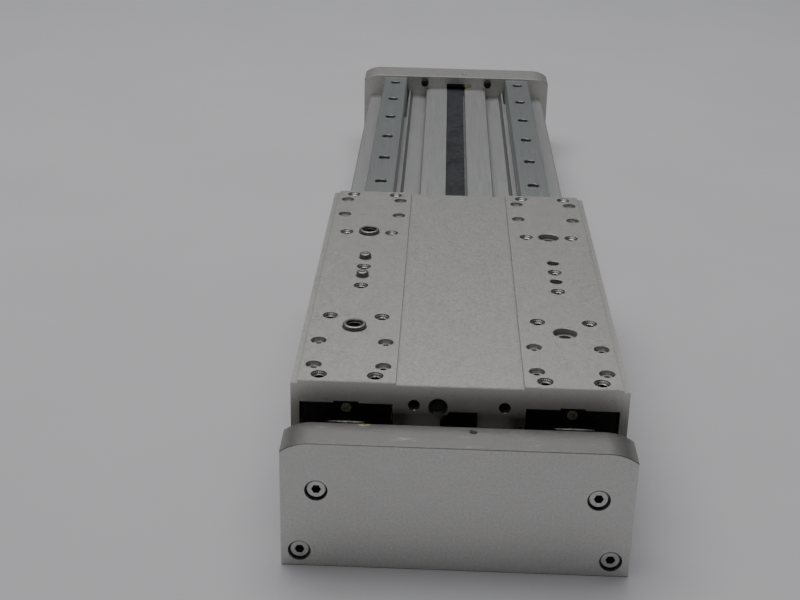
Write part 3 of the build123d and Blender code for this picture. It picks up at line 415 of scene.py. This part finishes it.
# ---- mesh helpers ------------------------------------------------------------------------------------
def mesh_object(name, vertices, faces, material, smooth=True):
    """A new object in the scene from plain vertices and faces."""
    mesh = bpy.data.meshes.new(name)
    mesh.from_pydata(vertices, [], faces)
    mesh.update()
    for polygon in mesh.polygons:
        polygon.use_smooth = smooth
    obj = bpy.data.objects.new(name, mesh)
    bpy.context.scene.collection.objects.link(obj)
    mesh.materials.append(material)
    return obj


def lathe(name, profile, centre, material, steps=64, closed=True):
    """Turns a profile of (radius, height) points about an upright axis; a closed profile makes a ring."""
    vertices, faces = [], []
    count = len(profile)
    for i in range(steps):
        a = 2 * math.pi * i / steps
        vertices += [(centre[0] + r * math.cos(a), centre[1] + r * math.sin(a), centre[2] + z)
                     for r, z in profile]
    for i in range(steps):
        for k in range(count if closed else count - 1):
            here, turn = i * count, (i + 1) % steps * count
            after = (k + 1) % count
            faces.append((here + k, turn + k, turn + after, here + after))
    obj = mesh_object(name, vertices, faces, material)
    soften(obj, 35)
    return obj


def soften(obj, degrees):
    """Smooth shading that keeps edges sharper than the angle."""
    for polygon in obj.data.polygons:
        polygon.use_smooth = True
    obj.data.set_sharp_from_angle(angle=math.radians(degrees))


# ---- cover strip -------------------------------------------------------------------------------------
STRIP_MARGIN = 60 * MM
ARCH_HALF_LENGTH = 66 * MM
ARCH_FLAT, ARCH_FOOT = 20 * MM, 62 * MM
STRIP_THICKNESS = 0.6 * MM
STRIP_EDGE = 0.22 * MM
TOP_STEPS = 6


def strip_height(y):
    """Underside of the strip along the module: flat in the slot, lifted over the nut driver."""
    away = abs(y - CARRIAGE_Y)
    if away >= ARCH_FOOT:
        return STRIP_LOW.z
    rise = (STRIP_HIGH.z - STRIP_LOW.z) - STRIP_THICKNESS
    part = min(1.0, (ARCH_FOOT - away) / (ARCH_FOOT - ARCH_FLAT))
    return STRIP_LOW.z + rise * part


def strip_piece(name, y0, y1, step):
    """A stretch of the band along Y, with bevelled edges, that follows strip_height()."""
    width = STRIP_HIGH.x - STRIP_LOW.x
    middle = (STRIP_HIGH.x + STRIP_LOW.x) / 2
    half, t, edge = width / 2, STRIP_THICKNESS, STRIP_EDGE
    section = [(-half, edge), (-half + edge, 0), (half - edge, 0), (half, edge), (half, t - edge),
               (half - edge, t)]
    section += [(half * (1 - 2 * k / TOP_STEPS) * 0.95, t) for k in range(TOP_STEPS + 1)]
    section += [(-half + edge, t), (-half, t - edge)]
    stations = max(2, round((y1 - y0) / step) + 1)
    vertices, faces = [], []
    count = len(section)
    for i in range(stations):
        y = y0 + (y1 - y0) * i / (stations - 1)
        z = strip_height(y)
        vertices += [(middle + sx, y, z + sz) for sx, sz in section]
    for i in range(stations - 1):
        for k in range(count):
            a, b = i * count + k, i * count + (k + 1) % count
            faces.append((a, a + count, b + count, b))
    faces.append(tuple(range(count)))
    faces.append(tuple((stations - 1) * count + k for k in reversed(range(count))))
    obj = mesh_object(name, vertices, faces, MATERIALS["strip_band"])
    soften(obj, 40)
    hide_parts("cover_strip")
    return obj


def cover_strip():
    """The band in three pieces: one stretches before the carriage, one rides it, one shortens behind it."""
    front_end = CARRIAGE_Y - STRIP_MARGIN
    rear_start = CARRIAGE_Y + STRIP_MARGIN
    front = strip_piece("strip_front", STRIP_LOW.y, front_end, 4 * MM)
    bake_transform(front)
    arch = strip_piece("strip_arch", CARRIAGE_Y - ARCH_HALF_LENGTH, CARRIAGE_Y + ARCH_HALF_LENGTH, 3 * MM)
    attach(arch, "carriage")
    rear = strip_piece("strip_rear", rear_start, STRIP_HIGH.y, 6 * MM)
    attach(rear, "base")
    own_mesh(rear)


# ---- centering rings and pins ------------------------------------------------------------------------
def node_centres(node, count):
    """Middles of a node's separate solids, which lie in a row along Y."""
    low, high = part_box(node)
    radius = (high.x - low.x) / 2
    x = (low.x + high.x) / 2
    span = (high.y - radius) - (low.y + radius)
    return [(x, low.y + radius + span * k / (count - 1)) for k in range(count)]


def centering_rings():
    """Rings with a broad rolled top rim, a chamfer and a relief groove where they leave the pad."""
    low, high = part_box("centering_rings")
    outer = (high.x - low.x) / 2
    inner = outer - 1.4 * MM
    top, seat, pad = high.z, low.z, CARRIAGE_TOP
    profile = [
        (inner + 0.22 * MM, top), (outer - 0.50 * MM, top), (outer - 0.30 * MM, top - 0.08 * MM),
        (outer - 0.03 * MM, top - 0.38 * MM), (outer, top - 0.50 * MM), (outer, pad + 0.22 * MM),
        (outer - 0.2 * MM, pad + 0.14 * MM), (outer - 0.2 * MM, pad - 0.34 * MM), (outer, pad - 0.36 * MM),
        (outer, seat), (inner, seat), (inner, pad), (inner - 0.2 * MM, pad + 0.1 * MM),
        (inner - 0.2 * MM, pad + 0.35 * MM), (inner, pad + 0.45 * MM), (inner, top - 0.22 * MM),
    ]
    for k, (x, y) in enumerate(node_centres("centering_rings", 2)):
        ring = lathe(f"centering_ring_{k}", profile, (x, y, 0), MATERIALS["hardened_steel"])
        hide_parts("centering_rings")
        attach(ring, "carriage")


def dowel_pins():
    """Pins with a domed, slightly flattened top."""
    low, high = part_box("dowel_pins")
    radius = (high.x - low.x) / 2
    top, seat, pad = high.z, low.z, CARRIAGE_TOP
    dome = 0.85 * MM
    profile = [(0.0, top - 0.10 * MM), (0.5 * MM, top - 0.08 * MM), (0.75 * MM, top)]
    for k in range(7):
        a = math.radians(15 * k)
        profile.append((radius - dome + dome * math.sin(a), top - dome * (1 - math.cos(a))))
    profile += [
        (radius, pad + 0.22 * MM), (radius - 0.2 * MM, pad + 0.14 * MM), (radius - 0.2 * MM, pad - 0.34 * MM),
        (radius, pad - 0.36 * MM), (radius, seat + 0.4 * MM), (radius - 0.4 * MM, seat), (0.0, seat),
    ]
    for k, (x, y) in enumerate(node_centres("dowel_pins", 2)):
        pin = lathe(f"dowel_pin_{k}", profile, (x, y, 0), MATERIALS["hardened_steel"], 48, closed=False)
        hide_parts("dowel_pins")
        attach(pin, "carriage")


# ---- threads in the tapped holes ---------------------------------------------------------------------
THREAD_PITCH = 0.8 * MM
TAP_RADIUS = 2.1 * MM
MOUTH_RADIUS = 2.95 * MM
THREAD_HEIGHT = 0.28 * MM
BRIGHT_TURNS = 1
SHELL = 0.015 * MM


def tapped_hole(name, place, mouth_radius, turns, body, tones=(0, 1, 2)):
    """The wall of a tapped hole as it really is: a countersunk mouth and a helical thread below it.

    Built down the hole's axis from its mouth, just inside the plain bore of the CAD part. tones picks
    from TAPPED for the mouth, the first turns and the depth; the mouth and depth tones are painted shade.
    """
    steps, per_turn = 36, 8
    wall = TAP_RADIUS - SHELL
    mouth_depth = mouth_radius - TAP_RADIUS
    levels = [(mouth_radius - 2 * SHELL, -SHELL, 0.0), (wall, -mouth_depth - SHELL, 0.0)]
    for k in range(1, turns * per_turn + 1):
        levels.append((wall, -mouth_depth - THREAD_PITCH * k / per_turn, min(1.0, k / per_turn * 2)))
    vertices, faces = [], []
    for radius, depth, height in levels:
        for i in range(steps):
            turn = i / steps
            a = 2 * math.pi * turn
            phase = (depth / THREAD_PITCH + turn) % 1.0
            crest = max(0.0, 1 - abs(phase - 0.5) / 0.38)
            r = radius - height * THREAD_HEIGHT * min(1.0, crest * 1.25)
            vertices.append(place @ Vector((r * math.cos(a), r * math.sin(a), depth)))
    for k in range(len(levels) - 1):
        for i in range(steps):
            a, b = k * steps + i, k * steps + (i + 1) % steps
            faces.append((a, a + steps, b + steps, b))
    obj = mesh_object(name, vertices, faces, TAPPED[0])
    for material in TAPPED[1:]:
        obj.data.materials.append(material)
    for k, polygon in enumerate(obj.data.polygons):
        part = 0 if k < steps else 1 if k < steps * (1 + BRIGHT_TURNS * per_turn) else 2
        polygon.material_index = tones[part]
    soften(obj, 30)
    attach(obj, body)


def upright(x, y, z):
    """Place of a hole in a face that looks up."""
    return Matrix.Translation((x, y, z))


def facing(x, y, z, direction):
    """Place of a hole in a face that looks along -Y or +Y."""
    return Matrix.Translation((x, y, z)) @ Matrix.Rotation(math.radians(-90 * direction), 4, "X")


def pattern_points(mount):
    """Offsets of a row's or rectangle's holes from the pattern's centre."""
    dims = mount["dims"]
    across = dims.get("spacing_x_mm", 0) / 2 * MM
    along = dims.get("spacing_y_mm", 0) / 2 * MM
    return sorted({(a * across, b * along) for a in (-1, 1) for b in (-1, 1)})


def tapped_holes():
    """A threaded wall in the tapped holes of the carriage and of the drive plate's motor flange."""
    for mount in frame["record"]["mounts"]:
        px, py, pz = mount["pos_m"]
        name = f"thread_{mount['name']}"
        if mount["name"].startswith("carriage_threads"):
            for k, (dx, dy) in enumerate(pattern_points(mount)):
                place = upright(px + dx, py + dy, CARRIAGE_TOP)
                tapped_hole(f"{name}_{k}", place, MOUTH_RADIUS, 4, "carriage")
        elif mount["name"].startswith("carriage_face_threads"):
            for k, (dx, dz) in enumerate(pattern_points(mount)):
                place = facing(px + dx, CARRIAGE_LOW.y, pz + dz, -1)
                tapped_hole(f"{name}_{k}", place, TAP_RADIUS + 4 * SHELL, 10, "carriage",
                            (1, 0, 0))
        elif mount["name"].startswith("motor_flange"):
            for k, (dx, dz) in enumerate(pattern_points(mount)):
                place = facing(px + dx, DRIVE_HIGH.y, pz + dz, 1)
                tapped_hole(f"{name}_{k}", place, MOUTH_RADIUS, 8, "base")


# ---- painted shade in the hexagon sockets of the end plate screws ------------------------------------
SOCKET_FLAT = 3.0 * MM
SOCKET_DEPTH = 1.9 * MM


def socket_shade_liners():
    """A near-black sheet on the broached wall and floor of each end plate screw's socket, as painted shade.
    """
    corner = SOCKET_FLAT / math.sqrt(3) - 2 * SHELL
    for node, side in (("idle_end_plate_screws", -1), ("drive_end_plate_screws", 1)):
        obj = frame["nodes"][node]
        low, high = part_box(node)
        face = high.y if side > 0 else low.y
        for k, (x, z) in enumerate(island_centres(obj)):
            vertices, faces = [], []
            for radius, depth in ((corner + 0.12 * MM, 0.02 * MM), (corner, -0.10 * MM),
                                  (corner, -SOCKET_DEPTH), (corner * 0.4, -SOCKET_DEPTH - 0.03 * MM)):
                place = facing(x, face + side * depth, z, side)
                for i in range(6):
                    a = math.radians(60 * i)
                    vertices.append(place @ Vector((radius * math.cos(a), radius * math.sin(a), 0)))
            for ring in range(3):
                for i in range(6):
                    a, b = ring * 6 + i, ring * 6 + (i + 1) % 6
                    faces.append((a, a + 6, b + 6, b))
            faces.append(tuple(range(18, 24)))
            shade_liner = mesh_object(f"socket_{node}_{k}", vertices, faces, MATERIALS["bumper_rubber"],
                                smooth=False)
            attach(shade_liner, "base")


def island_centres(obj):
    """X and Z of each separate screw in a node, from its mesh."""
    seen = []
    for vertex in obj.data.vertices:
        point = obj.matrix_world @ vertex.co
        for group in seen:
            if abs(group[0][0] - point.x) < 8 * MM and abs(group[0][1] - point.z) < 8 * MM:
                group.append((point.x, point.z))
                break
        else:
            seen.append([(point.x, point.z)])
    return [tuple((min(p[i] for p in g) + max(p[i] for p in g)) / 2 for i in (0, 1)) for g in seen]


# ---- grease ------------------------------------------------------------------------------------------
def grease_smear(name, centre, size, normal, body, seed, material=None):
    """A thin uneven smear: a low mound with a ragged outline, lying on a face."""
    rng = random.Random(seed)
    rings, steps = 5, 26
    wobble = [rng.uniform(0.65, 1.25) for _ in range(steps)]
    up = Vector(normal)
    across = Vector((1, 0, 0))
    along = up.cross(across)
    thickness = size[2]
    vertices = [Vector(centre) + up * thickness]
    faces = []
    for ring in range(1, rings + 1):
        part = ring / rings
        for s in range(steps):
            a = 2 * math.pi * s / steps
            reach = part * (1 + (wobble[s] - 1) * part)
            lift = thickness * (1 - part**2) * rng.uniform(0.7, 1.1) if ring < rings else -0.02 * MM
            point = Vector(centre) + across * size[0] * reach * math.cos(a)
            point += along * size[1] * reach * math.sin(a)
            vertices.append(point + up * lift)
    for s in range(steps):
        faces.append((0, 1 + s, 1 + (s + 1) % steps))
        for ring in range(rings - 1):
            a, b = 1 + ring * steps + s, 1 + ring * steps + (s + 1) % steps
            faces.append((a, a + steps, b + steps, b))
    obj = mesh_object(name, vertices, faces, material or GREASE)
    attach(obj, body)
    return obj


IDLE_SMEAR = (-33 * MM, IDLE_HIGH.y - 0.9 * MM, IDLE_HIGH.z)
IDLE_SMEAR_SIZE = (3.0 * MM, 0.8 * MM, 0.12 * MM)
DRIVE_SMEAR = (8 * MM, DRIVE_LOW.y, 43.4 * MM)
DRIVE_SMEAR_SIZE = (3.2 * MM, 1.8 * MM, 0.06 * MM)
RAIL_BEAD_Y = PROFILE_LOW.y + 2.8 * MM
RAIL_BEAD_SIZE = (6.8 * MM, 0.45 * MM, 0.30 * MM)


def grease_marks():
    """A smear on each end plate and a bead across each rail beside the idle plate."""
    grease_smear("grease_idle_plate", IDLE_SMEAR, IDLE_SMEAR_SIZE, (0, 0, 1), "base", 3)
    grease_smear("grease_drive_plate", DRIVE_SMEAR, DRIVE_SMEAR_SIZE, (0, -1, 0), "base", 8)
    for node, seed in (("guide_rail_left", 5), ("guide_rail_right", 6)):
        low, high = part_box(node)
        middle = ((low.x + high.x) / 2, RAIL_BEAD_Y, high.z)
        grease_smear(f"grease_{node}", middle, RAIL_BEAD_SIZE, (0, 0, 1), "base", seed, PALE_GREASE)


# ---- stage, lights and camera ------------------------------------------------------------------------
FLOOR_HALF = 6.0


def stage():
    """A wide pale floor that the part stands on."""
    corners = [(a * FLOOR_HALF, b * FLOOR_HALF, 0) for a, b in ((-1, -1), (1, -1), (1, 1), (-1, 1))]
    floor = mesh_object("studio_floor", corners, [(0, 1, 2, 3)], studio_floor("studio_floor"), smooth=False)


def area_light(name, place, target, size, power, colour=(1, 1, 1)):
    """A rectangular light that looks at a target."""
    data = bpy.data.lights.new(name, "AREA")
    data.shape = "RECTANGLE"
    data.size, data.size_y = size
    data.energy = power
    data.color = colour
    obj = bpy.data.objects.new(name, data)
    bpy.context.scene.collection.objects.link(obj)
    obj.location = place
    obj.rotation_euler = (Vector(target) - Vector(place)).to_track_quat("-Z", "Y").to_euler()
    return obj


def lights():
    """Soft overhead light, a weaker one from behind and a dim blueish room."""
    world = bpy.data.worlds.new("studio")
    bpy.context.scene.world = world
    world.use_nodes = True
    background = world.node_tree.nodes["Background"]
    background.inputs["Color"].default_value = (0.93, 0.95, 1.0, 1.0)
    background.inputs["Strength"].default_value = 0.10
    area_light("overhead", (-0.15, 0.15, 1.6), (0, 0.0, 0), (1.7, 1.4), 20.5)
    area_light("behind", (-0.3, 1.0, 1.8), (0, 0.1, 0), (2.0, 0.8), 7.0, (0.97, 0.98, 1.0))


CAMERA_PLACE = (-10.27 * MM, -675.6 * MM, 282.96 * MM)
CAMERA_YAW, CAMERA_PITCH, CAMERA_ROLL = math.radians(-1.532), math.radians(-23.853), math.radians(1.257)
CAMERA_LENS, CAMERA_SENSOR = 61.79, 36.0


def camera():
    """Looks along +Y and down from beyond the idle end."""
    data = bpy.data.cameras.new("camera")
    data.lens = CAMERA_LENS
    data.sensor_width = CAMERA_SENSOR
    data.clip_start = 0.02
    obj = bpy.data.objects.new("camera", data)
    bpy.context.scene.collection.objects.link(obj)
    forward = Vector((math.sin(CAMERA_YAW) * math.cos(CAMERA_PITCH),
                      math.cos(CAMERA_YAW) * math.cos(CAMERA_PITCH), math.sin(CAMERA_PITCH)))
    level = Vector((math.cos(CAMERA_YAW), -math.sin(CAMERA_YAW), 0))
    above = level.cross(forward)
    right = level * math.cos(CAMERA_ROLL) + above * math.sin(CAMERA_ROLL)
    up = above * math.cos(CAMERA_ROLL) - level * math.sin(CAMERA_ROLL)
    rotation = Matrix((right, up, -forward)).transposed().to_4x4()
    obj.matrix_world = Matrix.Translation(CAMERA_PLACE) @ rotation
    bpy.context.scene.camera = obj


def main():
    dress_cad_nodes()
    cover_strip()
    centering_rings()
    dowel_pins()
    tapped_holes()
    socket_shade_liners()
    grease_marks()
    stage()
    lights()
    camera()


main()
